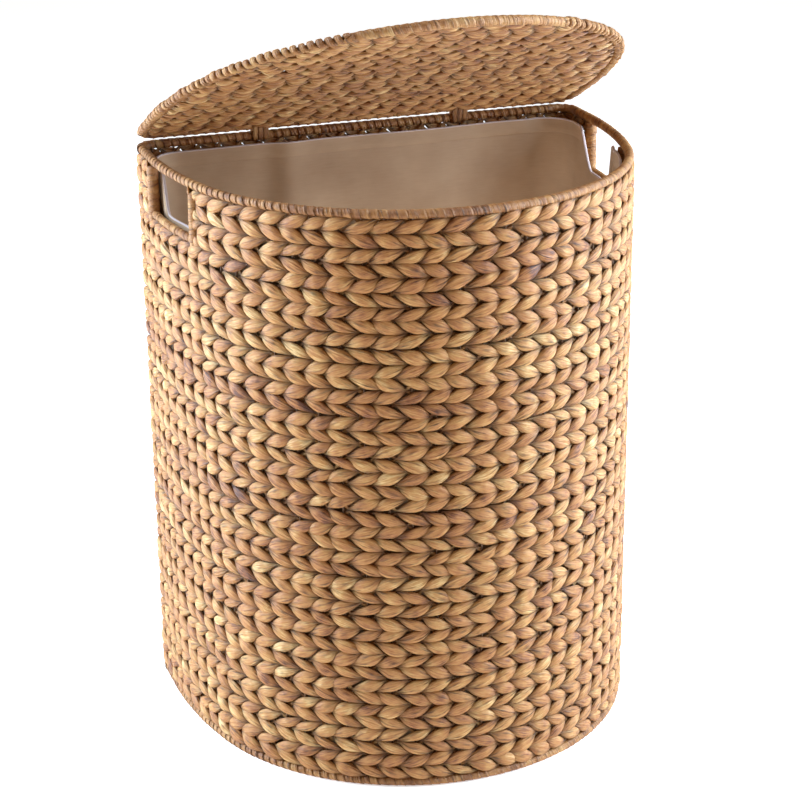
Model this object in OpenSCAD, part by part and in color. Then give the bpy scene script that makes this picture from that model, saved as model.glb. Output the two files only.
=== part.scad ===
// Half-moon laundry hamper: plant-fibre courses twined over a wire frame, with a
// hinged woven lid, cut-out handles and a cloth liner. Millimetres, +Z up.
// Origin: centre of the footprint at floor level. The flat back faces +Y.

/* [Body] */
// Width of the frame, wire centre to wire centre
body_width = 480; // [380:600]
// Depth of the frame, from the flat back to the front of the curve
body_depth = 358; // [330:440]
// Radius of the two rear corners, at the wire centre
corner_radius = 18; // [14:40]
// Radius of the gently bowed sides
side_radius = 480; // [380:900]
// Angle that each bowed side turns through, from a 7-24-25 triangle so it ends on round numbers
side_sweep = 16.2602; // [10:0.0001:30]

/* [Weave] */
// Height of one twined course
course_pitch = 13.8; // [10:0.05:16]
// Thickness of the woven wall over its crowns
wall_thickness = 12.4; // [9:0.1:16]
// Depth of the groove between two courses, on each face
groove_depth = 2; // [0.5:0.1:3]
// Number of upright stakes round the body
stake_count = 64; // [50:2:80]
// Diameter of a stake, a rib or a handle wire
stake_diameter = 2; // [1.5:0.5:5]

/* [Rims] */
// Diameter of the hoop wires
hoop_diameter = 5; // [3:0.5:8]
// Outer diameter of a hoop with its strip binding
binding_diameter = 9; // [7:0.5:14]
// Gap between a wire and what is bound round it
wire_gap = 0.1; // [0.05:0.05:0.3]

/* [Handles] */
// Stake at the rear edge of each hand hole, counted from the middle of the back
handle_rear_stake = 13; // [13:16]
// Stake at the front edge of each hand hole
handle_front_stake = 18; // [17:18]
// Diameter of the bound lower bar of a hand hole
handle_bar_diameter = 8; // [6:0.5:12]
// Diameter of the bound posts beside a hand hole
handle_post_diameter = 12; // [8:0.5:16]

/* [Lid] */
// Angle the lid stands open
lid_angle = 26; // [0:120]
// How far the lid's hoop sits inside the body's hoop
lid_inset = 1.44; // [0:0.01:6]
// Distance from the hinge line forward to the lid's rear wire
lid_setback = 6; // [4:0.5:12]
// Height of the lid's wires over the hinge line when the lid is shut
lid_lift = 9.4; // [9.3:0.1:14]
// Thickness of the woven lid
lid_thickness = 11.2; // [8:0.1:15]
// Distance of each hinge strap from the middle of the back
strap_x = 111; // [60:150]
// Width of each hinge strap
strap_width = 17; // [10:0.5:18]
// Thickness of a hinge strap
strap_thickness = 1.55; // [1:0.05:3]
// Radial clearance of a strap's eye on the rim
strap_clearance = 0.05; // [0.02:0.01:0.1]

/* [Liner] */
// Thickness of the liner cloth as modelled
cloth = 1.2; // [0.8:0.1:3]
// Distance of the liner's outer face inside the frame's centre line
liner_inset = 7.4; // [6.8:0.1:14]
// Distance of the liner's top edge below the top of the rim
liner_drop = 12; // [8:0.5:40]
// Depth of the folded hem
hem_depth = 15; // [8:30]

/* [Base] */
// Thickness of the woven base
base_thickness = 12; // [8:0.5:16]

/* [Hidden] */
$fn = 96;
courses = 42;
lid_courses = 26;
hoop_r = hoop_diameter / 2;
bind_r = binding_diameter / 2;
stake_r = stake_diameter / 2;
half_wall = wall_thickness / 2;
back_y = body_depth / 2;
weave_z = binding_diameter;
weave_top = weave_z + courses * course_pitch;
rim_z = weave_top + 0.05 + bind_r;
rim_top = rim_z + bind_r;
liner_floor = base_thickness + 0.2;
liner_top = rim_top - liner_drop;
band_height = 2 * course_pitch;
hole_z = weave_z + (courses - 4) * course_pitch;
bar_z = hole_z + 0.2 + handle_bar_diameter / 2;
lid_width = body_width - 2 * lid_inset;
lid_depth = body_depth - lid_inset - lid_setback;
lid_pitch = (lid_depth - 2 * bind_r - 2 * wire_gap) / lid_courses;
weave_colour = [0.76, 0.60, 0.41];
binding_colour = [0.70, 0.54, 0.36];
wire_colour = [0.16, 0.15, 0.14];
cloth_colour = [0.73, 0.66, 0.57];

// Radius of the front curve that joins the two bowed sides without a corner
function front_radius(w) =
    (w / 2 - side_radius * (1 - cos(side_sweep))) / cos(side_sweep);

// Length of the straight run between a rear corner and the bowed side
function side_run(w, d) =
    d - corner_radius - side_radius * sin(side_sweep)
    - front_radius(w) * (1 - sin(side_sweep));

back_half = body_width / 2 - corner_radius;
at_run = back_half + corner_radius * PI / 2;
at_side = at_run + side_run(body_width, body_depth);
at_front = at_side + side_radius * side_sweep * PI / 180;
half_path = at_front + front_radius(body_width) * (90 - side_sweep) * PI / 180;
stake_pitch = 2 * half_path / stake_count;

// Angle round the bowed side's centre of a point s along the path from the back
function side_angle(s) = (s - at_side) / side_radius * 180 / PI;

// Angle round a rear corner's centre, from straight back
function corner_angle(s) = (s - back_half) / corner_radius * 180 / PI;

// Angle round the front curve's centre, from straight to the side
function front_angle(s) =
    side_sweep + (s - at_front) / front_radius(body_width) * 180 / PI;

// Point on the right half of the frame's path, s from the middle of the back
function path_point(s) =
    s < back_half ? [s, 0] :
    s < at_run ? [
        back_half + corner_radius * sin(corner_angle(s)),
        corner_radius * (cos(corner_angle(s)) - 1)
    ] :
    s < at_side ? [body_width / 2, -corner_radius - (s - at_run)] :
    s < at_front ? [
        body_width / 2 - side_radius * (1 - cos(side_angle(s))),
        -corner_radius - side_run(body_width, body_depth)
        - side_radius * sin(side_angle(s))
    ] : [
        front_radius(body_width) * cos(front_angle(s)),
        front_radius(body_width) * (1 - sin(front_angle(s))) - body_depth
    ];

hand_from = side_angle(handle_rear_stake * stake_pitch);
hand_to = side_angle(handle_front_stake * stake_pitch);
post_turn = (handle_post_diameter / 2 + wire_gap) / side_radius * 180 / PI;

// Sweeps the child section round the half-moon path; +x of the section is outward
module half_moon(w, d) {
    run = side_run(w, d);
    front = front_radius(w);
    translate([corner_radius - w / 2, 0, 0])
    rotate([90, 0, 90])
    linear_extrude(w - 2 * corner_radius)
    children();
    translate([0, front - d, 0])
    difference() {
        rotate([0, 0, 180])
        rotate_extrude(angle = 180)
        translate([front, 0])
        children();
        for (m = [0, 1])
        mirror([m, 0, 0])
        rotate([0, 0, -side_sweep])
        translate([0, 0, -300])
        cube([900, 300, 1200]);
    }
    for (m = [0, 1])
    mirror([m, 0, 0]) {
        translate([w / 2 - corner_radius, -corner_radius, 0])
        rotate_extrude(angle = 90)
        translate([corner_radius, 0])
        children();
        translate([w / 2, -corner_radius, 0])
        rotate([90, 0, 0])
        linear_extrude(run)
        children();
        translate([w / 2 - side_radius, -corner_radius - run, 0])
        difference() {
            rotate([0, 0, -45])
            rotate_extrude(angle = 45)
            translate([side_radius, 0])
            children();
            rotate([0, 0, -side_sweep])
            translate([0, -900, -300])
            cube([1200, 900, 1200]);
        }
    }
}

// Filled half-moon, grown outward by grow
module half_moon_plate(w, d, grow) {
    run = side_run(w, d);
    reach = [1000 * cos(side_sweep), -1000 * sin(side_sweep)];
    middle = side_radius - w / 2;
    translate([0, front_radius(w) - d])
    intersection() {
        circle(front_radius(w) + grow);
        polygon([[0, 0], [-reach[0], reach[1]], [0, -1000], reach]);
    }
    for (m = [0, 1])
    mirror([m, 0]) {
        translate([w / 2 - side_radius, -corner_radius - run])
        intersection() {
            circle(side_radius + grow);
            polygon([[middle, 0], [middle, -middle * tan(side_sweep)], reach, [1000, 0]]);
        }
        translate([w / 2 - corner_radius, -corner_radius])
        circle(corner_radius + grow);
    }
    translate([-w / 2 - grow, -corner_radius - run])
    square([w + 2 * grow, run]);
    translate([corner_radius - w / 2, -corner_radius])
    square([w - 2 * corner_radius, corner_radius + grow]);
}

// Cross-section of two courses: x across the cloth of the weave, y along the pitch
module course_pair(thickness, pitch) {
    h = thickness / 2;
    g = groove_depth;
    polygon([
        [g - h, 0], [h - g, 0],
        [h, g], [h, pitch - g], [h - g, pitch],
        [h, pitch + g], [h, 2 * pitch - g], [h - g, 2 * pitch],
        [g - h, 2 * pitch],
        [-h, 2 * pitch - g], [-h, pitch + g], [g - h, pitch],
        [-h, pitch - g], [-h, g]
    ]);
}

// Section of a binding strip: a ring round a wire
module binding_section(outer, wire) {
    difference() {
        circle(outer);
        circle(wire + wire_gap);
    }
}

// Puts a part built on the path in its place in the row
module in_row() {
    translate([0, back_y, 0])
    children();
}

// Puts a part of the lid, built flat about its own wires, in its open position
module on_lid() {
    translate([0, back_y, rim_z])
    rotate([-lid_angle, 0, 0])
    translate([0, 0, lid_lift])
    children();
}

// The space each strap's eye turns in, cut from the top course of the back
module strap_pockets() {
    for (x = [-strap_x, strap_x])
    translate([x - strap_width / 2 - 0.4, 0, rim_z])
    rotate([0, 90, 0])
    cylinder(h = strap_width + 0.8, r = bind_r + strap_clearance + strap_thickness + 0.7);
}

// The gap each hand hole leaves in the wall above its lower bar
module hand_gaps(low, high, from, to) {
    for (m = [0, 1])
    mirror([m, 0, 0])
    translate([
        body_width / 2 - side_radius,
        -corner_radius - side_run(body_width, body_depth), low
    ])
    linear_extrude(high - low)
    polygon([
        [400 * cos(from), -400 * sin(from)], [560 * cos(from), -560 * sin(from)],
        [560 * cos(to), -560 * sin(to)], [400 * cos(to), -400 * sin(to)]
    ]);
}

// One band of two courses round the whole wall
module wall_band(i) {
    color(weave_colour)
    in_row()
    translate([0, 0, weave_z + (i - 1) * band_height])
    half_moon(body_width, body_depth)
    course_pair(wall_thickness, course_pitch);
}

// A band that stops each side of the hand holes
module open_band(i) {
    z = weave_z + (i - 1) * band_height;
    color(weave_colour)
    in_row()
    difference() {
        translate([0, 0, z])
        half_moon(body_width, body_depth)
        course_pair(wall_thickness, course_pitch);
        hand_gaps(z - 1, z + band_height + 1, hand_from - post_turn, hand_to + post_turn);
        strap_pockets();
    }
}

// Wires side by side from back to front, cut to the half-moon
module ribs(w, d, grow) {
    intersection() {
        for (i = [-10:10])
        translate([i * stake_pitch, 1, 0])
        rotate([90, 0, 0])
        cylinder(h = d + 2, r = stake_r);
        translate([0, 0, -stake_diameter])
        linear_extrude(2 * stake_diameter)
        half_moon_plate(w, d, grow);
    }
}

// The space each strap takes round the lid's rear wire
module lid_strap_slots() {
    for (x = [-strap_x, strap_x])
    translate([x - strap_width / 2 - 0.3, 0, 0])
    rotate([0, 90, 0])
    cylinder(h = strap_width + 0.6, r = bind_r + strap_thickness + 0.3);
}

// One band of two courses across the lid, parallel to the hinge
module lid_band(i) {
    color(weave_colour)
    on_lid()
    translate([0, -lid_setback, 0])
    difference() {
        intersection() {
            translate([-lid_width / 2, -bind_r - wire_gap - 2 * i * lid_pitch, 0])
            rotate([0, 90, 0])
            linear_extrude(lid_width)
            course_pair(lid_thickness, lid_pitch);
            translate([0, 0, -lid_thickness])
            linear_extrude(2 * lid_thickness)
            half_moon_plate(lid_width, lid_depth, -bind_r - wire_gap);
        }
        lid_strap_slots();
    }
}

// A fibre strip looped round the body's rear rim and the lid's rear wire
module hinge_strap(x) {
    outer = bind_r + strap_thickness;
    reach = sqrt(lid_setback * lid_setback + lid_lift * lid_lift);
    lean = atan2(lid_setback, lid_lift);
    color(binding_colour)
    on_lid()
    translate([x - strap_width / 2, 0, -lid_lift])
    rotate([90, 0, 90])
    linear_extrude(strap_width)
    rotate(lean)
    difference() {
        union() {
            circle(outer + strap_clearance);
            translate([0, reach])
            circle(outer + strap_clearance);
            translate([-3, reach / 2 - 2])
            square([6, 4]);
        }
        circle(bind_r + strap_clearance);
        translate([0, reach])
        circle(bind_r + wire_gap);
    }
}

// Lower bar wire of a hand hole, on the right side
module handle_wire() {
    translate([
        body_width / 2 - side_radius,
        -corner_radius - side_run(body_width, body_depth), bar_z
    ])
    rotate([0, 0, -hand_to])
    rotate_extrude(angle = hand_to - hand_from)
    translate([side_radius, 0])
    circle(stake_r);
}

// Fibre bound round the lower bar and both posts of a hand hole, on the right side
module handle_binding() {
    difference() {
        union() {
            translate([
                body_width / 2 - side_radius,
                -corner_radius - side_run(body_width, body_depth), bar_z
            ])
            rotate([0, 0, -hand_to])
            rotate_extrude(angle = hand_to - hand_from)
            translate([side_radius, 0])
            circle(handle_bar_diameter / 2);
            for (i = [handle_rear_stake, handle_front_stake])
            translate(concat(path_point(i * stake_pitch), hole_z + 0.05))
            cylinder(h = weave_top - hole_z - 0.05, r = handle_post_diameter / 2);
        }
        translate([
            body_width / 2 - side_radius,
            -corner_radius - side_run(body_width, body_depth), bar_z
        ])
        rotate([0, 0, -hand_to])
        rotate_extrude(angle = hand_to - hand_from)
        translate([side_radius, 0])
        circle(stake_r + wire_gap);
        for (i = [handle_rear_stake, handle_front_stake])
        translate(concat(path_point(i * stake_pitch), hole_z - 1))
        cylinder(h = weave_top - hole_z + 2, r = stake_r + wire_gap);
    }
}

// Steel hoop under the binding of the top rim
module rim_wire() {
    color(wire_colour)
    in_row()
    translate([0, 0, rim_z])
    half_moon(body_width, body_depth)
    circle(hoop_r);
}

// Flat fibre strip bound round the top hoop
module rim_binding() {
    color(binding_colour)
    in_row()
    translate([0, 0, rim_z])
    half_moon(body_width, body_depth)
    binding_section(bind_r, hoop_r);
}

// Steel hoop round the foot
module base_wire() {
    color(wire_colour)
    in_row()
    translate([0, 0, bind_r])
    half_moon(body_width, body_depth)
    circle(hoop_r);
}

// Flat fibre strip bound round the foot hoop
module base_binding() {
    color(binding_colour)
    in_row()
    translate([0, 0, bind_r])
    half_moon(body_width, body_depth)
    binding_section(bind_r, hoop_r);
}

// Upright wires that the courses are twined round; those under a hand hole stop at its bar
module stakes() {
    color(wire_colour)
    in_row()
    difference() {
        for (m = [0, 1])
        mirror([m, 0, 0])
        for (i = [m:stake_count / 2 - m])
        translate(concat(path_point(i * stake_pitch), weave_z))
        cylinder(
            h = i > handle_rear_stake && i < handle_front_stake ? hole_z - weave_z
                : weave_top - weave_z,
            r = stake_r
        );
        strap_pockets();
    }
}

// Lower bar of the left hand hole
module handle_wire_left() {
    color(wire_colour)
    in_row()
    mirror([1, 0, 0])
    difference() {
        handle_wire();
        for (i = [handle_rear_stake, handle_front_stake])
        translate(concat(path_point(i * stake_pitch), hole_z))
        cylinder(h = 20, r = stake_r + wire_gap);
    }
}

// Lower bar of the right hand hole
module handle_wire_right() {
    color(wire_colour)
    in_row()
    difference() {
        handle_wire();
        for (i = [handle_rear_stake, handle_front_stake])
        translate(concat(path_point(i * stake_pitch), hole_z))
        cylinder(h = 20, r = stake_r + wire_gap);
    }
}

// Binding of the left hand hole
module handle_binding_left() {
    color(binding_colour)
    in_row()
    mirror([1, 0, 0])
    handle_binding();
}

// Binding of the right hand hole
module handle_binding_right() {
    color(binding_colour)
    in_row()
    handle_binding();
}

// Wires across the foot that the base is woven on
module base_ribs() {
    color(wire_colour)
    in_row()
    translate([0, 0, base_thickness / 2])
    ribs(body_width, body_depth, -bind_r - wire_gap);
}

// Woven base, flat underneath, with a groove between courses on its upper face
module base_weave() {
    color(weave_colour)
    in_row()
    difference() {
        linear_extrude(base_thickness)
        half_moon_plate(body_width, body_depth, -half_wall - wire_gap);
        for (i = [1:courses / 2 + 4])
        translate([-body_width / 2, -half_wall - i * lid_pitch, base_thickness])
        rotate([45, 0, 0])
        translate([0, -1, -1])
        cube([body_width, 2, 2]);
    }
}

// Courses 1 and 2 of the wall, counted up
module band_01() {
    wall_band(1);
}

// Courses 3 and 4 of the wall, counted up
module band_02() {
    wall_band(2);
}

// Courses 5 and 6 of the wall, counted up
module band_03() {
    wall_band(3);
}

// Courses 7 and 8 of the wall, counted up
module band_04() {
    wall_band(4);
}

// Courses 9 and 10 of the wall, counted up
module band_05() {
    wall_band(5);
}

// Courses 11 and 12 of the wall, counted up
module band_06() {
    wall_band(6);
}

// Courses 13 and 14 of the wall, counted up
module band_07() {
    wall_band(7);
}

// Courses 15 and 16 of the wall, counted up
module band_08() {
    wall_band(8);
}

// Courses 17 and 18 of the wall, counted up
module band_09() {
    wall_band(9);
}

// Courses 19 and 20 of the wall, counted up
module band_10() {
    wall_band(10);
}

// Courses 21 and 22 of the wall, counted up
module band_11() {
    wall_band(11);
}

// Courses 23 and 24 of the wall, counted up
module band_12() {
    wall_band(12);
}

// Courses 25 and 26 of the wall, counted up
module band_13() {
    wall_band(13);
}

// Courses 27 and 28 of the wall, counted up
module band_14() {
    wall_band(14);
}

// Courses 29 and 30 of the wall, counted up
module band_15() {
    wall_band(15);
}

// Courses 31 and 32 of the wall, counted up
module band_16() {
    wall_band(16);
}

// Courses 33 and 34 of the wall, counted up
module band_17() {
    wall_band(17);
}

// Courses 35 and 36 of the wall, counted up
module band_18() {
    wall_band(18);
}

// Courses 37 and 38 of the wall, counted up
module band_19() {
    wall_band(19);
}

// Courses 39 and 40, broken by the hand holes
module band_20() {
    open_band(20);
}

// Courses 41 and 42, broken by the hand holes
module band_21() {
    open_band(21);
}

// A standing ring of cloth in the basket, from z low to z high
module cloth_ring(low, high, outer, inner) {
    translate([0, 0, low])
    linear_extrude(high - low)
    difference() {
        half_moon_plate(body_width, body_depth, -outer);
        half_moon_plate(body_width, body_depth, -inner);
    }
}

// Side of the cloth liner, cut down in a notch at each hand hole
module liner_wall() {
    color(cloth_colour)
    in_row()
    difference() {
        cloth_ring(liner_floor + cloth, liner_top - hem_depth, liner_inset, liner_inset + cloth);
        hand_gaps(hole_z + 2, rim_top, hand_from - 1, hand_to + 1);
    }
}

// Bottom of the liner, lying on the woven base
module liner_base() {
    color(cloth_colour)
    in_row()
    translate([0, 0, liner_floor])
    linear_extrude(cloth)
    half_moon_plate(body_width, body_depth, -liner_inset);
}

// Folded hem along the liner's top edge, behind and in front of the hand holes
module liner_hem() {
    color(cloth_colour)
    in_row()
    difference() {
        cloth_ring(
            liner_top - hem_depth, liner_top, liner_inset - 0.4, liner_inset - 0.4 + 2 * cloth
        );
        hand_gaps(hole_z + 2, rim_top, hand_from - 1, hand_to + 1);
    }
}

// Steel hoop round the lid
module lid_wire() {
    color(wire_colour)
    on_lid()
    translate([0, -lid_setback, 0])
    half_moon(lid_width, lid_depth)
    circle(hoop_r);
}

// Fibre strip bound round the lid's hoop
module lid_binding() {
    color(binding_colour)
    on_lid()
    translate([0, -lid_setback, 0])
    half_moon(lid_width, lid_depth)
    binding_section(bind_r, hoop_r);
}

// Wires from back to front that the lid is woven on
module lid_ribs() {
    color(wire_colour)
    on_lid()
    translate([0, -lid_setback, 0])
    difference() {
        ribs(lid_width, lid_depth, -bind_r - wire_gap);
        lid_strap_slots();
    }
}

// Courses 1 and 2 of the lid, counted from the hinge
module lid_band_01() {
    lid_band(1);
}

// Courses 3 and 4 of the lid, counted from the hinge
module lid_band_02() {
    lid_band(2);
}

// Courses 5 and 6 of the lid, counted from the hinge
module lid_band_03() {
    lid_band(3);
}

// Courses 7 and 8 of the lid, counted from the hinge
module lid_band_04() {
    lid_band(4);
}

// Courses 9 and 10 of the lid, counted from the hinge
module lid_band_05() {
    lid_band(5);
}

// Courses 11 and 12 of the lid, counted from the hinge
module lid_band_06() {
    lid_band(6);
}

// Courses 13 and 14 of the lid, counted from the hinge
module lid_band_07() {
    lid_band(7);
}

// Courses 15 and 16 of the lid, counted from the hinge
module lid_band_08() {
    lid_band(8);
}

// Courses 17 and 18 of the lid, counted from the hinge
module lid_band_09() {
    lid_band(9);
}

// Courses 19 and 20 of the lid, counted from the hinge
module lid_band_10() {
    lid_band(10);
}

// Courses 21 and 22 of the lid, counted from the hinge
module lid_band_11() {
    lid_band(11);
}

// Courses 23 and 24 of the lid, counted from the hinge
module lid_band_12() {
    lid_band(12);
}

// Courses 25 and 26 of the lid, counted from the hinge
module lid_band_13() {
    lid_band(13);
}

// Hinge strap towards the left corner
module hinge_strap_left() {
    hinge_strap(-strap_x);
}

// Hinge strap towards the right corner
module hinge_strap_right() {
    hinge_strap(strap_x);
}

rim_wire();
rim_binding();
base_wire();
base_binding();
stakes();
handle_wire_left();
handle_wire_right();
handle_binding_left();
handle_binding_right();
base_ribs();
base_weave();
band_01();
band_02();
band_03();
band_04();
band_05();
band_06();
band_07();
band_08();
band_09();
band_10();
band_11();
band_12();
band_13();
band_14();
band_15();
band_16();
band_17();
band_18();
band_19();
band_20();
band_21();
liner_wall();
liner_base();
liner_hem();
lid_wire();
lid_binding();
lid_ribs();
lid_band_01();
lid_band_02();
lid_band_03();
lid_band_04();
lid_band_05();
lid_band_06();
lid_band_07();
lid_band_08();
lid_band_09();
lid_band_10();
lid_band_11();
lid_band_12();
lid_band_13();
hinge_strap_left();
hinge_strap_right();
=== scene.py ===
import math

import bpy
import numpy as np
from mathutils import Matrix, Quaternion, Vector


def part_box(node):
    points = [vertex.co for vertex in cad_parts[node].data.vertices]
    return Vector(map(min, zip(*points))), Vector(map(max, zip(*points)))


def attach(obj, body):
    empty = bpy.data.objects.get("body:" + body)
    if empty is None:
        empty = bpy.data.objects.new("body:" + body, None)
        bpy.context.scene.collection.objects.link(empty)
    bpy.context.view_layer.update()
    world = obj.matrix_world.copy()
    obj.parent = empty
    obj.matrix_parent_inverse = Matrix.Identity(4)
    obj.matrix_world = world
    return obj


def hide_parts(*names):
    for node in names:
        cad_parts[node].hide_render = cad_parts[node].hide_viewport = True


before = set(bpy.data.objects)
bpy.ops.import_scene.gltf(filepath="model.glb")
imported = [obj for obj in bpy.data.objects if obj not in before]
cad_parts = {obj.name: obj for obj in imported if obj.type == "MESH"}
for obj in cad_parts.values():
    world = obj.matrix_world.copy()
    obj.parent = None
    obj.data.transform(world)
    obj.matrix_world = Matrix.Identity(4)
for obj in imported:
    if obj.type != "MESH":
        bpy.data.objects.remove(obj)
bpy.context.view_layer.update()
bpy.ops.object.select_all(action="DESELECT")

# ---------------------------------------------------------------------------------------------
# The studio: a white floor that runs out of sight, two large soft lights at the hamper's
# sides, weak ones in front and overhead, a fill inside it, and a long lens that looks down on it.
# ---------------------------------------------------------------------------------------------
look_at = Vector((-0.011, 0.009, 0.3366))
view_turn, view_rise, view_roll = (math.radians(a) for a in (-19.24, 20.67, -0.56))
view_distance = 2.2292
lens = 95.82

back = Vector((
    math.sin(view_turn) * math.cos(view_rise),
    -math.cos(view_turn) * math.cos(view_rise),
    math.sin(view_rise),
))
bpy.ops.object.camera_add(location=look_at + back * view_distance)
camera = bpy.context.object
camera.rotation_mode = "QUATERNION"
camera.rotation_quaternion = (-back).to_track_quat("-Z", "Y") @ Quaternion((0, 0, 1), view_roll)
camera.data.lens = lens
camera.data.sensor_width = 36
camera.data.clip_end = 60
bpy.context.scene.camera = camera
bpy.context.scene.view_settings.view_transform = "Standard"
bpy.context.scene.view_settings.look = "None"

day_white = (0.78, 0.98, 1.22)
warm_white = (1.0, 0.74, 0.50)


def soft_light(name, place, size, power, colour=day_white, target=(0, 0, 0.35)):
    """A square of soft light that faces the hamper."""
    place = Vector(place)
    turn = (place - Vector(target)).to_track_quat("Z", "Y").to_euler()
    bpy.ops.object.light_add(type="AREA", location=place, rotation=turn)
    light = bpy.context.object
    light.name = name
    light.data.shape = "RECTANGLE"
    light.data.size, light.data.size_y = size
    light.data.energy = power
    light.data.color = colour
    light.visible_camera = False


soft_light("light_left", (-1.7, 0.75, 0.9), (1.2, 1.9), 102)
soft_light("light_right", (1.7, -0.50, 1.0), (1.2, 1.9), 107)
soft_light("light_front", (-0.6, -2.4, 1.6), (1.4, 1.4), 2, warm_white)
soft_light("light_top", (0.1, 0.0, 2.4), (1.8, 1.8), 10, warm_white)
soft_light(
    "light_inside", (0.07, 0.02, 0.27), (0.22, 0.18), 0.9, (1, 1, 1), target=(0.14, 0.0, 2.0))


class Node:
    """A socket in a material's tree: arithmetic on it adds Math nodes, and make adds any other."""

    def __init__(self, tree, socket=None):
        self.tree = tree
        self.socket = socket

    def make(self, kind, settings=None, sockets=None, out=0):
        node = self.tree.nodes.new("ShaderNode" + kind)
        for name, value in (settings or {}).items():
            if name == "stops":
                ramp = node.color_ramp
                while len(ramp.elements) < len(value):
                    ramp.elements.new(0.5)
                for element, (place, colour) in zip(ramp.elements, value):
                    element.position = place
                    element.color = (*colour, 1)
            else:
                setattr(node, name, value)
        for name, value in (sockets or {}).items():
            if isinstance(value, Node):
                self.tree.links.new(value.socket, node.inputs[name])
            else:
                node.inputs[name].default_value = value
        return Node(self.tree, node.outputs[out] if len(node.outputs) else None)

    def maths(self, operation, a, b=0.0):
        return self.make("Math", {"operation": operation}, {0: a, 1: b})

    def dim(self, amount):
        """This colour times a number."""
        grey = self.make("CombineColor", sockets={0: amount, 1: amount, 2: amount})
        settings = {"data_type": "RGBA", "blend_type": "MULTIPLY"}
        return self.make("Mix", settings, {0: 1.0, 6: self, 7: grey}, out=2)

    def __add__(self, other):
        return self.maths("ADD", self, other)

    def __sub__(self, other):
        return self.maths("SUBTRACT", self, other)

    def __rsub__(self, other):
        return self.maths("SUBTRACT", other, self)

    def __mul__(self, other):
        return self.maths("MULTIPLY", self, other)

    def __pow__(self, other):
        return self.maths("POWER", self, other)

    __radd__ = __add__
    __rmul__ = __mul__


def paint(red, green, blue):
    """The linear colour of a paint-chart value from 0 to 255."""
    return tuple(
        ((c / 255 + 0.055) / 1.055) ** 2.4 if c > 10 else c / 3295 for c in (red, green, blue))


def new_material(name, **constants):
    """A material with one Principled shader whose constant sockets are set, and its tree."""
    made = bpy.data.materials.new(name)
    made.use_nodes = True
    shader = made.node_tree.nodes["Principled BSDF"]
    for socket, value in constants.items():
        shader.inputs[socket.replace("_", " ")].default_value = value
    return made, Node(made.node_tree), shader


def feed(shader, socket, value):
    """Links a worked-out value to one socket of the shader."""
    value.tree.links.new(value.socket, shader.inputs[socket])


floor_white = (0.93, 0.93, 0.93, 1)
floor_warm = (1.0, 0.86, 0.68, 1)
plain_white = (1, 1, 1, 1)
near_glow = 0.47
far_glow = 0.40
glow_reach = 2.0
room_glow = 0.12

bpy.ops.mesh.primitive_plane_add(size=40)
floor = bpy.context.object
floor.name = "floor"
floor_finish, tree, shader = new_material(
    "floor_white", Base_Color=floor_white, Roughness=0.55, Emission_Strength=1.0)
seen = tree.make("LightPath", out=0)
tint = tree.make("Mix", {"data_type": "RGBA"}, {0: seen, 6: floor_warm, 7: plain_white}, out=2)
where = tree.make("TexCoord", out=3)
far = tree.make("VectorMath", {"operation": "LENGTH"}, {0: where}, out=1)
far = tree.maths("MINIMUM", far, glow_reach)
feed(shader, "Emission Color", tint.dim(far * (far_glow / glow_reach) + near_glow))
floor.data.materials.append(floor_finish)

world = bpy.data.worlds.new("studio")
bpy.context.scene.world = world
world.use_nodes = True
sky = Node(world.node_tree)
background = world.node_tree.nodes["Background"]
seen = sky.make("LightPath", out=0)
feed(background, "Strength", seen * (1 - room_glow) + room_glow)
feed(background, "Color", sky.make("Mix", {"data_type": "RGBA"}, {
    0: seen, 6: (*warm_white, 1), 7: plain_white}, out=2))

# ---------------------------------------------------------------------------------------------
# The wire frame: round wire bent to a half-moon at the foot, at the rim and round the lid,
# with straight stakes between them. It is brown lacquered steel, and fibre hides most of it.
# ---------------------------------------------------------------------------------------------
side_radius = 0.480
side_sweep = math.radians(16.2602)
corner_radius = 0.018
stakes_round = 64

foot_low, foot_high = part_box("base_wire")
wire_radius = (foot_high.z - foot_low.z) / 2
body_width = foot_high.x - foot_low.x - 2 * wire_radius
body_depth = foot_high.y - foot_low.y - 2 * wire_radius
back_y = foot_high.y - wire_radius
rim_low, rim_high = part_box("rim_wire")
rim_z = (rim_low.z + rim_high.z) / 2
wall_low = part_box("band_01")[0].z
wall_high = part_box("band_21")[1].z


def half_moon(width, depth, corner=corner_radius):
    """Stretches of the outline, from the middle of the back towards +X: length and radius."""
    inner = side_radius * (1 - math.cos(side_sweep))
    front = (width / 2 - inner) / math.cos(side_sweep)
    run = depth - corner - side_radius * math.sin(side_sweep)
    run -= front * (1 - math.sin(side_sweep))
    half = [
        (width / 2 - corner, None),
        (math.pi / 2 * corner, corner),
        (run, None),
        (side_radius * side_sweep, side_radius),
    ]
    return half + [((math.pi - 2 * side_sweep) * front, front)] + half[::-1]


def walk(outline, distance):
    """Points on an outline and the directions outward from it, at distances along it."""
    total = sum(length for length, radius in outline)
    distance = np.mod(np.asarray(distance, float), total)[:, None]
    points = np.zeros((len(distance), 2))
    outward = np.zeros((len(distance), 2))
    at, facing, begin = np.array([0.0, 0.0]), np.array([0.0, 1.0]), 0.0
    for length, radius in outline:
        gone = np.vstack([np.clip(distance - begin, 0, length), [[length]]])
        if radius is None:
            way = facing + 0 * gone
            place = at + gone * [facing[1], -facing[0]]
        else:
            turn = gone / radius
            way = facing * np.cos(turn) + np.array([facing[1], -facing[0]]) * np.sin(turn)
            place = at + radius * (way - facing)
        here = distance[:, 0] >= begin
        points[here], outward[here] = place[:-1][here], way[:-1][here]
        at, facing, begin = place[-1], way[-1], begin + length
    return points, outward


body_outline = half_moon(body_width, body_depth)
body_round = sum(length for length, radius in body_outline)
stake_pitch = body_round / stakes_round

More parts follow.
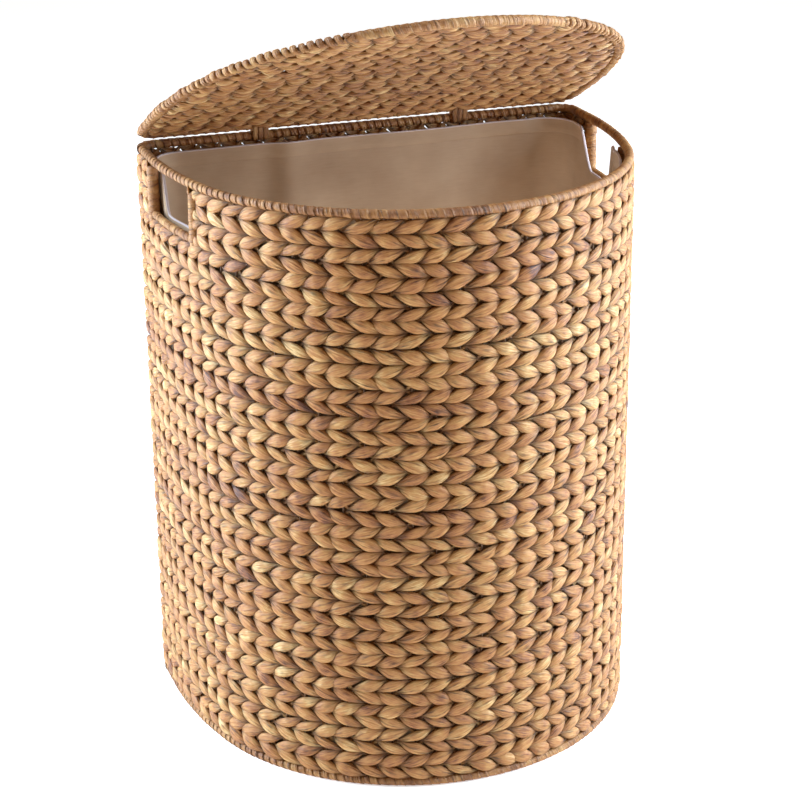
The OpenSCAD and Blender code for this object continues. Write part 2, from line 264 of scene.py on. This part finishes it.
wire_finish, tree, shader = new_material("lacquered_wire", Metallic=0.0, Specular_IOR_Level=0.3)
spots = tree.make("TexNoise", sockets={
    "Vector": tree.make("TexCoord", out=3), "Scale": 180.0, "Detail": 4.0})
feed(shader, "Base Color", tree.make("ValToRGB", {
    "stops": [(0.3, paint(92, 66, 44)), (0.75, paint(130, 96, 66))]}, {"Fac": spots}))
feed(shader, "Roughness", 0.38 + spots * 0.2)
for node_name in (
    "rim_wire", "base_wire", "lid_wire", "stakes", "base_ribs", "lid_ribs",
    "handle_wire_left", "handle_wire_right",
):
    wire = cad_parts[node_name]
    wire.data.materials.clear()
    wire.data.materials.append(wire_finish)

# ---------------------------------------------------------------------------------------------
# The wall: 42 courses of dried water-plant fibre. Two flat strands a course are twined round
# the stakes, over one and behind the next, and every course is twisted the other way from the
# one below, so that the strands slant in chevrons. Each strand is plump over its stake.
# ---------------------------------------------------------------------------------------------
courses = 42
course_pitch = (wall_high - wall_low) / courses
stake_wander = 0.0024
hole_stakes = (13, 18)
# One half of a strand's twist, in degrees from its crown over a stake to behind the next one, and
# there its distance out, climb, half height and half thickness in millimetres, and how deep in the
# weave it lies, from 0 to 1, which sets how much painted shade its colour gets.
wall_leaf = {
    "steps": np.array([-125, -98, -70, -40, -13, 13, 40, 70, 98, 125, 155, 205]),
    "turn": np.array([0, 25, 50, 75, 100, 125, 150, 180]),
    "out": np.array([3.2, 3.1, 2.8, 2.2, 1.3, 0.2, -0.9, -1.8]) / 1000,
    "climb": np.array([0, 1.1, 2.2, 3.5, 4.9, 6.2, 3.6, 0]) / 1000,
    "width": np.array([7.1, 6.6, 5.8, 4.7, 3.2, 1.5, 3.2, 5.6]) / 1000,
    "thickness": np.array([2.9, 2.9, 2.7, 2.3, 1.8, 1.3, 1.4, 1.6]) / 1000,
    "depth": np.array([0, 0.05, 0.4, 0.7, 0.9, 1, 0.7, 0.1]),
}
strand_girth = 0.020
strand_fullness = 0.62
end_gap = 0.1
end_taper = 0.3
end_width = 0.45
end_thickness = 0.6
girth_spread = 0.10
lift_spread = 0.0006
shift_spread = 0.055
leaf_tone = 0.6
drift_tone = 0.8
chance = np.random.default_rng(11)


class Skein:
    """Gathers strands into one mesh. The UV map runs along each strand and round it, in metres,
    and attributes hold the strand's tone and how deep in the weave a point lies, which the fibre
    material uses for painted shade."""

    def __init__(self, sides=10):
        self.sides = sides
        self.points, self.faces, self.maps, self.tones, self.depths = [], [], [], [], []

    def add(self, centres, facing, width, thickness, tone, depth, closed=False):
        """Sweeps a flat oval along centres, its broad face towards facing."""
        count, sides = len(centres), self.sides
        if closed:
            along = np.roll(centres, -1, 0) - np.roll(centres, 1, 0)
        else:
            along = np.gradient(centres, axis=0)
        along /= np.linalg.norm(along, axis=1)[:, None]
        face = facing - along * (facing * along).sum(1)[:, None]
        face /= np.linalg.norm(face, axis=1)[:, None]
        across = np.cross(along, face)
        angle = np.arange(sides) / sides * 2 * math.pi
        wide = np.cos(angle)[None, :, None]
        proud = (np.sign(np.sin(angle)) * np.abs(np.sin(angle)) ** strand_fullness)[None, :, None]
        ring = centres[:, None] + across[:, None] * wide * width[:, None, None]
        ring = ring + face[:, None] * proud * thickness[:, None, None]
        first = sum(len(p) for p in self.points)
        self.points.append(ring.reshape(-1, 3))
        self.tones.append(np.repeat(tone, sides))
        self.depths.append(np.repeat(depth, sides))
        last = count if closed else count - 1
        i, j = (a.ravel() for a in np.meshgrid(np.arange(last), np.arange(sides), indexing="ij"))
        ahead, beside = (i + 1) % count, (j + 1) % sides
        corners = [i * sides + j, i * sides + beside, ahead * sides + beside, ahead * sides + j]
        self.faces.append(np.stack(corners, 1) + first)
        run = np.linalg.norm(np.diff(centres, axis=0, append=centres[:1]), axis=1)
        run = np.concatenate([[0], np.cumsum(run)]) + chance.uniform(0, 5)
        girth = strand_girth / sides
        u = np.stack([run[i], run[i], run[i + 1], run[i + 1]], 1)
        v = np.stack([j, j + 1, j + 1, j], 1) * girth
        self.maps.append(np.stack([u, v], 2))
        if not closed:
            for end, order in ((0, -1), (count - 1, 1)):
                cap = (end * sides + np.arange(sides) + first)[::order]
                half = sides // 2 - 1
                for k in range(half):
                    quad = [cap[k], cap[k + 1], cap[sides - 2 - k], cap[sides - 1 - k]]
                    self.faces.append(np.array([quad]))
                    self.maps.append(np.zeros((1, 4, 2)) + [run[end], 0])

    def piece(self, name, finish, body, slot, *nodes):
        """Makes the mesh an object that rides on a body and stands for its CAD nodes."""
        mesh = bpy.data.meshes.new(name)
        faces = np.concatenate(self.faces)
        mesh.from_pydata(np.concatenate(self.points).tolist(), [], faces.tolist())
        mesh.uv_layers.new(name="strand")
        mesh.uv_layers["strand"].data.foreach_set(
            "uv", np.concatenate(self.maps).astype(np.float32).ravel())
        for label, values in (("tone", self.tones), ("depth", self.depths)):
            attribute = mesh.attributes.new(label, "FLOAT", "POINT")
            attribute.data.foreach_set("value", np.concatenate(values).astype(np.float32))
        mesh.shade_smooth()
        mesh.materials.append(finish)
        made = bpy.data.objects.new(name, mesh)
        bpy.context.scene.collection.objects.link(made)
        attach(made, body)
        if nodes:
            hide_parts(*nodes)
        return made


def drifting(count, reach, closed=True):
    """A slow wander round zero with one value for each strand crown."""
    step = chance.normal(0, 1, count + 8)
    smooth = np.convolve(step, np.ones(5) / 5 ** 0.5, "same")[4:4 + count]
    if closed:
        fade = np.linspace(0, 1, count)
        smooth = smooth - fade * (smooth[-1] - smooth[0])
    return smooth * reach


def twine(skein, place, start, end, twist, leaf, closed=False):
    """Adds the two strands of one course between two stake numbers, shaped by a leaf table.
    place(stake, out, up) gives the points and their outward directions."""
    for strand in (0, 1):
        turns = np.arange(math.floor(start / 2) - 1, math.ceil(end / 2) + 2)
        if closed:
            turns = np.arange(stakes_round // 2)
        phase = (turns[:, None] * 360.0 + leaf["steps"][None]).ravel()
        stake = phase / 180 + strand
        if not closed:
            keep = (stake > start + end_gap) & (stake < end - end_gap)
            ends = np.array([start - strand, end - strand]) * 180.0
            phase = np.concatenate([ends[:1], phase[keep], ends[1:]])
            stake = phase / 180 + strand
        number = np.round(phase / 360).astype(int)
        number -= number.min()
        count = number.max() + 1
        past = (phase + 180) % 360 - 180
        turn = np.abs(past)
        showing = np.clip(1.4 - turn / 100, 0, 1)
        fat = 1 + chance.normal(0, girth_spread, count)[number] * showing
        lift = chance.normal(0, lift_spread, count)[number] * showing
        shift = chance.normal(0, shift_spread, count)[number] * showing
        tone = chance.normal(0, 1, count)[number] * leaf_tone
        tone = tone + drifting(count, drift_tone, closed)[number]
        out = np.interp(turn, leaf["turn"], leaf["out"])
        climb = np.interp(turn, leaf["turn"], leaf["climb"]) * np.sign(past)
        slope = np.gradient(climb, stake * stake_pitch)
        width = np.interp(turn, leaf["turn"], leaf["width"]) * fat / np.sqrt(1 + slope ** 2)
        thickness = np.interp(turn, leaf["turn"], leaf["thickness"]) * fat
        if not closed:
            near = np.clip(np.minimum(stake - start, end - stake) / end_taper, 0, 1)
            width = width * (end_width + (1 - end_width) * near)
            thickness = thickness * (end_thickness + (1 - end_thickness) * near)
            out = out * near
        centres, facing = place(stake + shift, out, lift - twist * climb)
        depth = np.interp(turn, leaf["turn"], leaf["depth"])
        skein.add(centres, facing, width, thickness, tone, depth, closed)


stake_drift = chance.uniform(-stake_wander, stake_wander, stakes_round)
stake_drift[[s % stakes_round for h in hole_stakes for s in (h, stakes_round - h)]] = 0
stake_numbers = np.arange(-stakes_round, 2 * stakes_round)
stake_places = stake_numbers * stake_pitch + np.tile(stake_drift, 3)

strap_low, strap_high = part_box("hinge_strap_right")
strap_x = (strap_low.x + strap_high.x) / 2
strap_width = strap_high.x - strap_low.x
strap_dip = 0.0022
strap_dip_reach = 0.013
top_raise = 0.0006
course_wobble = 0.0005


def wall_place(height):
    """Where the strands of a course at that height go. The top one dips under the straps."""
    wobble = drifting(stakes_round, course_wobble)
    top = height > wall_high - course_pitch
    dip = strap_dip if top else 0
    height = height + (top_raise if top else 0)

    def place(stake, out, up):
        flat, outward = walk(body_outline, np.interp(stake, stake_numbers, stake_places))
        sway = np.interp(stake % stakes_round, np.arange(stakes_round), wobble)
        near = np.exp(-((np.abs(flat[:, 0]) - strap_x) / strap_dip_reach) ** 2)
        sway = sway - dip * near * (outward[:, 1] > 0.9)
        points = np.column_stack([flat + outward * out[:, None], height + up + sway])
        points[:, 1] += back_y
        return points, np.column_stack([outward, 0 * out])

    return place


tone_shade = 0.075
stain_shade = 0.85
# crease_start, crease_shade and darkest set the painted shade: creases of the fold pattern and
# strands deep in the weave are darkened, never below darkest.
crease_start = 0.47
crease_shade = 3.6
darkest = 0.2


def strand_material(name, stops, deep_shade, streak_depth):
    """Dried fibre: a tone per leaf, lengthwise streaks, painted shade deep in the weave and in
    creases.
    """
    made, tree, shader = new_material(name, Roughness=0.58, Specular_IOR_Level=0.42)
    tone = tree.make("Attribute", {"attribute_name": "tone"}, out=2)
    depth = tree.make("Attribute", {"attribute_name": "depth"}, out=2)
    where = tree.make("UVMap", {"uv_map": "strand"})

    def grain(along, across, detail):
        stretched = tree.make("VectorMath", {"operation": "MULTIPLY"}, {
            0: where, 1: (along, across, 0)})
        return tree.make("TexNoise", sockets={
            "Vector": stretched, "Scale": 1.0, "Detail": detail})

    fibre, fold, stain = grain(70, 1500, 3.0), grain(55, 560, 3.0), grain(75, 120, 2.0)
    shade = tone * tone_shade + (stain - 0.5) * stain_shade + (fibre - 0.5) * streak_depth + 0.5
    colour = tree.make("ValToRGB", {"stops": stops}, {"Fac": shade})
    # Painted shade: the colour is darkened deep in the weave, where the strands cross, and in the
    # creases of the fold pattern.
    crease = tree.maths("MAXIMUM", crease_start - fold, 0.0)
    light = tree.maths("MAXIMUM", 1 - depth ** 3 * deep_shade - crease * crease_shade, darkest)
    feed(shader, "Base Color", colour.dim(light))
    feed(shader, "Normal", tree.make("Bump", sockets={
        "Strength": 1.0, "Distance": 0.0026, "Height": fibre * 0.3 + fold}))
    return made


weave_stops = [
    (0.08, paint(89, 49, 28)), (0.20, paint(132, 79, 42)), (0.34, paint(164, 107, 56)),
    (0.52, paint(178, 123, 67)), (0.68, paint(188, 140, 80)), (0.94, paint(220, 186, 128)),
]
weave_finish = strand_material("water_plant_fibre", weave_stops, 0.6, 0.95)

rear_hole, front_hole = hole_stakes
for band in range(1, courses // 2 + 1):
    skein = Skein()
    for course in (2 * band - 1, 2 * band):
        height = wall_low + (course - 0.5) * course_pitch
        place = wall_place(height)
        twist = 1 if course % 2 == 0 else -1
        if course <= courses - 4:
            twine(skein, place, 0, stakes_round, twist, wall_leaf, closed=True)
        else:
            for start, end in (
                (front_hole, stakes_round - front_hole), (-rear_hole, rear_hole)
            ):
                twine(skein, place, start, end, twist, wall_leaf)
    name = f"band_{band:02d}"
    skein.piece(f"twined_{name}", weave_finish, "basket", "woven_fibre", name)

# ---------------------------------------------------------------------------------------------
# Rim and foot: the hoop wires are wound with one long flat strip of the same fibre, each turn
# lapping the one before it.
# ---------------------------------------------------------------------------------------------
flat_strip = (0.0085, 0.0060, 0.00045, 0.02)
strip_steps = 12
strip_lean = 0.06
strip_clearance = 0.0001

strip_stops = [
    (0.05, paint(84, 50, 28)), (0.3, paint(136, 87, 46)), (0.55, paint(165, 114, 62)),
    (0.95, paint(200, 160, 100)),
]
strip_finish = strand_material("wound_strip", strip_stops, 0.25, 0.35)


def wind(skein, place, start, length, radius, strip, closed=False, under=1.0):
    """Winds a flat strip round a wire between two distances along it. strip is its length of
    wire for each turn, half width, half thickness and unevenness. place(distance) gives the
    wire's points and two directions square to it. under is the furthest it may hang below."""
    turn, width, thickness, unevenness = strip
    turns = max(1, round(length / turn))
    swing = np.arange(turns * strip_steps + (0 if closed else 1)) / strip_steps
    centre, outward, up = place(start + swing / turns * length)
    angle = swing * 2 * math.pi
    spoke = outward * np.cos(angle)[:, None] + up * np.sin(angle)[:, None]
    facing = spoke + np.cross(outward, up) * strip_lean
    steps = np.arange(turns + 2)
    uneven = chance.normal(0, unevenness, turns + 2)
    uneven[[0, turns]] = 0
    size = 1 + np.interp(swing, steps, uneven)
    tone = drifting(turns + 2, 0.7) + chance.normal(0, 0.5, turns + 2)
    tone = tone[swing.astype(int)]
    reach = (radius - thickness) * size
    down = np.maximum(-np.sin(angle), 0.01)
    reach = np.minimum(reach, under / down - thickness * size)
    skein.add(
        centre + spoke * reach[:, None], facing, width * size, thickness * size, tone,
        0 * swing, closed)


def hoop_place(outline, height):
    """Where a level hoop's wire runs."""

    def place(distance):
        flat, outward = walk(outline, distance)
        points = np.column_stack([flat, np.full(len(flat), height)])
        points[:, 1] += back_y
        outward = np.column_stack([outward, np.zeros(len(flat))])
        return points, outward, np.zeros_like(outward) + [0, 0, 1]

    return place


hoop_radius = (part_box("rim_binding")[1].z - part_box("rim_binding")[0].z) / 2
foot_z = (foot_low.z + foot_high.z) / 2
for name, height in (("rim_binding", rim_z), ("base_binding", foot_z)):
    skein = Skein(8)
    place = hoop_place(body_outline, height)
    wind(skein, place, 0, body_round, hoop_radius - strip_clearance, flat_strip, closed=True)
    skein.piece(f"wound_{name}", strip_finish, "basket", "binding_strip", name)

# ---------------------------------------------------------------------------------------------
# Hand holes: the stake at each side and the bar below are wound with a wider, fatter strip, so
# that they are smooth to the hand.
# ---------------------------------------------------------------------------------------------
post_strip = (0.0072, 0.0044, 0.0009, 0.06)
bar_strip = (0.0070, 0.0046, 0.0007, 0.04)
post_radius = 0.006
bar_radius = 0.004
hole_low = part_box("handle_binding_right")[0].z
bar_z = hole_low + bar_radius


def post_place(stake):
    """Where the binding of the stake with that number runs, up from the bar."""
    flat, outward = walk(body_outline, [stake * stake_pitch])

    def place(distance):
        points = np.column_stack([flat + 0 * distance[:, None], hole_low + distance])
        points[:, 1] += back_y
        across = np.zeros((len(distance), 3))
        across[:, :2] = outward
        along = np.zeros((len(distance), 3))
        along[:, :2] = [-outward[0, 1], outward[0, 0]]
        return points, across, along

    return place


for side in ("right", "left"):
    posts = hole_stakes if side == "right" else [stakes_round - stake for stake in hole_stakes]
    skein = Skein(8)
    for stake in posts:
        wind(skein, post_place(stake), 0, wall_high - hole_low, post_radius, post_strip)
    place = hoop_place(body_outline, bar_z)
    bar_start = min(posts) * stake_pitch
    bar_length = (max(posts) - min(posts)) * stake_pitch
    wind(skein, place, bar_start, bar_length, bar_radius, bar_strip)
    name = f"handle_binding_{side}"
    skein.piece(f"wound_{name}", strip_finish, "basket", "binding_strip", name)

# ---------------------------------------------------------------------------------------------
# The base: courses of the same twining run straight across a row of wires, and both faces show
# the leaves. Their ends bend along the foot ring where they meet it.
# ---------------------------------------------------------------------------------------------
# The twist table for straight panel rows; its depth column sets the painted shade where the
# strands cross.
panel_leaf = {
    "steps": np.arange(-165, 180, 30),
    "turn": np.array([0, 30, 60, 90, 120, 150, 180]),
    "out": np.array([2.8, 2.7, 1.9, 0, -1.9, -2.7, -2.8]) / 1000,
    "climb": np.array([0, 0.9, 2.2, 3.5, 2.2, 0.9, 0]) / 1000,
    "width": np.array([7.2, 6.8, 5.8, 4.2, 5.8, 6.8, 7.2]) / 1000,
    "thickness": np.array([2.5, 2.4, 2.2, 1.9, 2.2, 2.4, 2.5]) / 1000,
    "depth": np.array([0, 0.1, 0.6, 1, 0.6, 0.1, 0]),
}
panel_courses = 26
base_row_inset = 0.011


def panel_row(skein, outline, first, pitch, row, inset, twist, move):
    """Twines one straight row of a panel inside an outline. move takes its points to place."""
    total = sum(length for length, radius in outline)
    edge, outward = walk(outline, np.linspace(0, total / 2, 400))
    nose = edge[np.argmax(edge[:, 0]):][::-1]
    middle = -(first + (row - 0.5) * pitch)
    half_row = np.interp(-middle, -edge[:, 1], edge[:, 0])

    def place(stake, out, up):
        x = (stake - slip) * stake_pitch
        front = np.interp(np.abs(x), nose[:, 0], nose[:, 1])
        y = np.maximum(middle + up, front + inset)
        facing = np.zeros((len(x), 3)) + [0, 0, 1]
        return move(np.column_stack([x, y, out])), move(facing) - move(0 * facing)

    slip = chance.uniform(-0.4, 0.4)
    reach = (half_row - inset / 2) / stake_pitch
    twine(skein, place, -reach + slip, reach + slip, twist, panel_leaf)


def base_move(points):
    """From a panel lying about its own wires to the foot of the hamper."""
    return points + [0, back_y, base_z]


base_low, base_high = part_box("base_weave")
base_z = (base_low.z + base_high.z) / 2
base_inset = back_y - base_high.y
base_pitch = (base_high.y - base_low.y) / panel_courses
skein = Skein()
for row in range(1, panel_courses + 1):
    panel_row(
        skein, body_outline, base_inset, base_pitch, row, base_row_inset, (-1) ** row, base_move)
skein.piece("twined_base", weave_finish, "basket", "woven_fibre", "base_weave")

# ---------------------------------------------------------------------------------------------
# The lid: the same straight twining inside a hoop that follows the rim. At the sides the ends
# of the strands loop round the hoop in fat turns with gaps, and the front is wound smooth.
# ---------------------------------------------------------------------------------------------
lid_angle = math.radians(26)
lid_lift = 0.0094
lid_setback = 0.006
lid_inset = 0.00144
lid_hoop = 0.0045
lid_row_inset = 0.0086
lid_hang = 0.0040
loop_strip = (0.0086, 0.0034, 0.0018, 0.10)
rear_strip = (0.0110, 0.0066, 0.0008, 0.10)
loop_front = 0.105
lid_outline = half_moon(body_width - 2 * lid_inset, body_depth - lid_inset - lid_setback)
lid_round = sum(length for length, radius in lid_outline)
lid_pitch = (body_depth - lid_inset - lid_setback - 2 * lid_hoop) / panel_courses


def lid_move(points):
    """From a lid lying flat about its own wires to the open lid on the rim."""
    x, y, z = (points - [0, lid_setback, -lid_lift]).T
    turned = [
        x, back_y + y * math.cos(lid_angle) + z * math.sin(lid_angle),
        rim_z + z * math.cos(lid_angle) - y * math.sin(lid_angle),
    ]
    return np.column_stack(turned)


def lid_hoop_place(distance):
    """Where the lid's hoop runs."""
    flat, outward = walk(lid_outline, distance)
    zero = np.zeros((len(flat), 3))
    out = np.column_stack([outward, zero[:, 0]])
    origin = lid_move(zero)
    return (
        lid_move(np.column_stack([flat, zero[:, 0]])), lid_move(out) - origin,
        lid_move(zero + [0, 0, 1]) - origin,
    )


lid_stops = [
    (0.12, paint(80, 44, 25)), (0.24, paint(122, 72, 38)), (0.36, paint(154, 100, 52)),
    (0.52, paint(168, 116, 63)), (0.66, paint(184, 137, 80)), (0.88, paint(222, 190, 134)),
]
# The lid's fibre gets stronger painted shade deep in the weave than the wall's.
lid_finish = strand_material("lid_fibre", lid_stops, 0.8, 1.1)

for band in range(1, panel_courses // 2 + 1):
    skein = Skein()
    for row in (2 * band - 1, 2 * band):
        panel_row(
            skein, lid_outline, lid_hoop, lid_pitch, row, lid_row_inset, (-1) ** row, lid_move)
    name = f"lid_band_{band:02d}"
    skein.piece(f"twined_{name}", lid_finish, "lid", "woven_fibre", name)

skein = Skein(8)
rear_half = lid_outline[0][0] + lid_outline[1][0]
front_arc = lid_outline[4][1]
smooth_half = front_arc * math.asin(loop_front / front_arc)
loop_length = lid_round / 2 - smooth_half - rear_half
# Each stretch of the hoop: where it starts, its length, how far its winding swells, its strip
stretches = (
    (-rear_half, 2 * rear_half, 1.1, rear_strip), (rear_half, loop_length, 1.2, loop_strip),
    (lid_round / 2 - smooth_half, 2 * smooth_half, 1.0, flat_strip),
    (lid_round / 2 + smooth_half, loop_length, 1.2, loop_strip),
)
for start, length, swell, strip in stretches:
    wind(skein, lid_hoop_place, start, length, lid_hoop * swell, strip, under=lid_hang)
skein.piece("wound_lid_binding", strip_finish, "lid", "binding_strip", "lid_binding")

# ---------------------------------------------------------------------------------------------
# Two hinge straps: three turns of flat strip side by side hold the lid's rear wire to the rim,
# loose enough for the lid to swing.
# ---------------------------------------------------------------------------------------------
strap_turns = 3
strap_reach = 0.0054
strap_half_thickness = 0.00055
strap_fill = 0.98
half_loop = 9
loop_points = 2 * half_loop
strap_end = np.array([lid_setback, -lid_lift])
strap_way = -strap_end / np.linalg.norm(strap_end)

for side, x in (("left", -strap_x), ("right", strap_x)):
    skein = Skein(8)
    for turn in range(strap_turns):
        angle = np.concatenate([
            np.linspace(-90, 90, half_loop), np.linspace(90, 270, half_loop)])
        angle = np.radians(angle)[:, None]
        spoke = strap_way * np.cos(angle) + strap_way[::-1] * [-1, 1] * np.sin(angle)
        base_point = np.where(np.arange(loop_points)[:, None] < half_loop, 0, 1) * strap_end
        loop = base_point + spoke * strap_reach
        across = x + (turn - (strap_turns - 1) / 2) * strap_width / strap_turns
        none = np.zeros(loop_points)
        centres = lid_move(np.column_stack([none + across, loop]))
        facing = lid_move(np.column_stack([none, spoke])) - lid_move(np.zeros((loop_points, 3)))
        wide = none + strap_width / strap_turns / 2 * strap_fill
        skein.add(
            centres, facing, wide, none + strap_half_thickness,
            none + chance.normal(-1, 0.5), none, closed=True)
    name = f"hinge_strap_{side}"
    skein.piece(f"looped_{name}", strip_finish, "lid", "binding_strip", name)

# ---------------------------------------------------------------------------------------------
# The liner: a loose cotton bag that stands in the hamper, with a wide hem. Its edge drops in a
# rounded notch below each hand hole, and it cuts the rear corners in a wider curve.
# ---------------------------------------------------------------------------------------------
liner_low, liner_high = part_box("liner_base")
liner_inset = back_y - liner_high.y + 0.0002
cloth = 0.0009
thread_rate = 6283
hem_depth = 0.015
liner_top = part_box("liner_hem")[1].z
notch_low = bar_z + 0.0035
liner_corner = 0.036
liner_columns = 560
liner_rows = 40
notch_rise = (0.028, 0.030)
notch_ease = 0.002
wave_columns = 16
wave_height = 0.0006
flap_height = 0.020
flap_half_width = 0.009
flap_setback = 0.012
fold_count = 26


def cotton(name, low, high):
    """Plain-woven cotton: soft blotches, and a fine weave that only shows close to."""
    made, tree, shader = new_material(name, Roughness=0.88, Specular_IOR_Level=0.18)
    where = tree.make("UVMap", {"uv_map": "cloth"})
    parts = tree.make("SeparateXYZ", sockets={0: where})
    along, up = (Node(tree.tree, parts.socket.node.outputs[i]) for i in (0, 1))
    warp = tree.maths("SINE", along * thread_rate)
    weft = tree.maths("SINE", up * thread_rate)
    solid = tree.make("TexCoord", out=3)
    thread = tree.make("VectorMath", {"operation": "MULTIPLY"}, {0: solid, 1: (60, 60, 800)})
    blotch = tree.make("TexNoise", sockets={"Vector": solid, "Scale": 14.0, "Detail": 4.0})
    slub = tree.make("TexNoise", sockets={"Vector": thread, "Scale": 1.0})
    shade = blotch * 0.9 + slub * 0.2 + warp * weft * 0.03 - 0.05
    colour = tree.make("ValToRGB", {"stops": [(0.2, low), (0.8, high)]}, {"Fac": shade})
    feed(shader, "Base Color", colour)
    feed(shader, "Normal", tree.make("Bump", sockets={
        "Strength": 0.25, "Distance": 0.0004, "Height": warp * weft + slub}))
    return made


liner_finish = cotton("liner_cotton", paint(149, 121, 95), paint(183, 156, 127))
piping_finish = cotton("piping_cotton", paint(178, 160, 152), paint(206, 190, 186))


def cloth_piece(name, points, closed_across, finish, thickness):
    """A piece of cloth from a grid of points, rows by columns, closed round its columns."""
    rows, columns = points.shape[:2]
    i, j = (a.ravel() for a in np.meshgrid(
        np.arange(rows if closed_across else rows - 1), np.arange(columns), indexing="ij"))
    up, on = (i + 1) % rows, (j + 1) % columns
    corners = [i * columns + j, i * columns + on, up * columns + on, up * columns + j]
    mesh = bpy.data.meshes.new(name)
    mesh.from_pydata(points.reshape(-1, 3).tolist(), [], np.stack(corners, 1).tolist())
    mesh.uv_layers.new(name="cloth")
    run = body_round / columns
    rise = np.linalg.norm(np.diff(points, axis=0, append=points[:1]), axis=2).mean(1)
    rise = np.concatenate([[0], np.cumsum(rise)])
    u = np.stack([j, j + 1, j + 1, j], 1) * run
    v = np.stack([rise[i], rise[i], rise[i + 1], rise[i + 1]], 1)
    mesh.uv_layers["cloth"].data.foreach_set(
        "uv", np.stack([u, v], 2).astype(np.float32).ravel())
    mesh.shade_smooth()
    mesh.materials.append(finish)
    made = bpy.data.objects.new(name, mesh)
    bpy.context.scene.collection.objects.link(made)
    bpy.context.view_layer.objects.active = made
    if thickness:
        solid = made.modifiers.new("thickness", "SOLIDIFY")
        solid.thickness = thickness
        solid.offset = -1
        bpy.ops.object.modifier_apply(modifier="thickness")
    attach(made, "basket")
    return made


def ease(low, high, value):
    """A smooth step from 0 to 1."""
    t = np.clip((value - low) / (high - low), 0, 1)
    return t * t * (3 - 2 * t)


liner_outline = half_moon(
    body_width - 2 * liner_inset, body_depth - 2 * liner_inset, liner_corner)
liner_round = sum(length for length, radius in liner_outline)
liner_at = np.arange(liner_columns) / liner_columns * liner_round
liner_flat, liner_outward = walk(liner_outline, liner_at)
liner_flat = liner_flat - [0, liner_inset]
post_y = walk(body_outline, np.array(hole_stakes) * stake_pitch)[0][:, 1]
rear_post, front_post = -post_y
from_back = -liner_flat[:, 1]
notch = ease(rear_post - notch_ease, rear_post + notch_rise[0], from_back)
notch = notch * (1 - ease(front_post - notch_rise[1], front_post + notch_ease, from_back))
waves = liner_columns // wave_columns
wave = drifting(waves, wave_height)
wave = np.interp(np.arange(liner_columns) / wave_columns, np.arange(waves), wave)
liner_edge = liner_top - notch * (liner_top - notch_low) + wave
flap = np.clip(1 - np.abs(from_back - front_post + flap_setback) / flap_half_width, 0, 1)
liner_edge = liner_edge + flap_height * flap * (liner_flat[:, 0] > 0)
fold_places = chance.uniform(0, liner_round, fold_count)
fold_sizes = chance.uniform(0.0004, 0.0020, fold_count)
fold_widths = chance.uniform(0.008, 0.034, fold_count)
away = (liner_at[:, None] - fold_places + liner_round / 2) % liner_round - liner_round / 2
folds = (fold_sizes * np.exp(-(away / fold_widths) ** 2)).sum(1)


def liner_grid(inset, low, high, rows):
    """Points of the liner between two heights, as rows of the grid."""
    level = np.linspace(0, 1, rows)[:, None]
    height = low + (high - low) * level
    deep = inset + folds * (0.4 + 0.6 * level)
    flat = liner_flat[None] - liner_outward[None] * deep[..., None]
    points = np.concatenate([flat, height[..., None]], 2)
    points[..., 1] += back_y
    return points


hem_overlap = 0.002
wall = liner_grid(
    0, np.full(liner_columns, liner_low.z), liner_edge - hem_overlap, liner_rows)
liner_wall = cloth_piece("liner_side", wall, False, liner_finish, cloth)
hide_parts("liner_wall")

# The hem cut through, in millimetres inward and up, from its outer face over the fold and down
# inside to the stitching
hem_cut = [(-0.4, -15), (-0.5, -8), (-0.4, -1.2), (0.1, -0.2), (0.9, 0), (1.7, -0.3),
           (1.4, -1.4), (1.4, -7), (1.35, -12.8), (1.1, -13.6), (1.2, -14.6), (0.8, -15.2)]
hem_rows = [
    liner_grid(inward / 1000, liner_edge, liner_edge + height / 1000, 2)[1]
    for inward, height in hem_cut
]
liner_hem = cloth_piece("liner_edge_hem", np.array(hem_rows)[::-1], True, liner_finish, 0)
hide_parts("liner_hem")
piping_inset, piping_half_width, piping_half_height = 0.0008, 0.0014, 0.0009
piping_rows = [
    liner_grid(
        piping_inset - piping_half_width * math.cos(angle), liner_edge,
        liner_edge + piping_half_height * math.sin(angle), 2)[1]
    for angle in np.radians(np.arange(0, 360, 45))
]
liner_piping = cloth_piece("liner_piping", np.array(piping_rows)[::-1], True, piping_finish, 0)

bottom_rings = 14
ring = wall[0]
centre = ring.mean(0)
shrink = np.linspace(1, 0.02, bottom_rings)[:, None, None]
base = centre + (ring[None] - centre) * shrink
base[..., 2] = liner_low.z + chance.uniform(0, 0.0006, base.shape[:2]) * (shrink[..., 0] < 0.99)
liner_base = cloth_piece("liner_bottom", base[::-1], False, liner_finish, cloth)
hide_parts("liner_base")
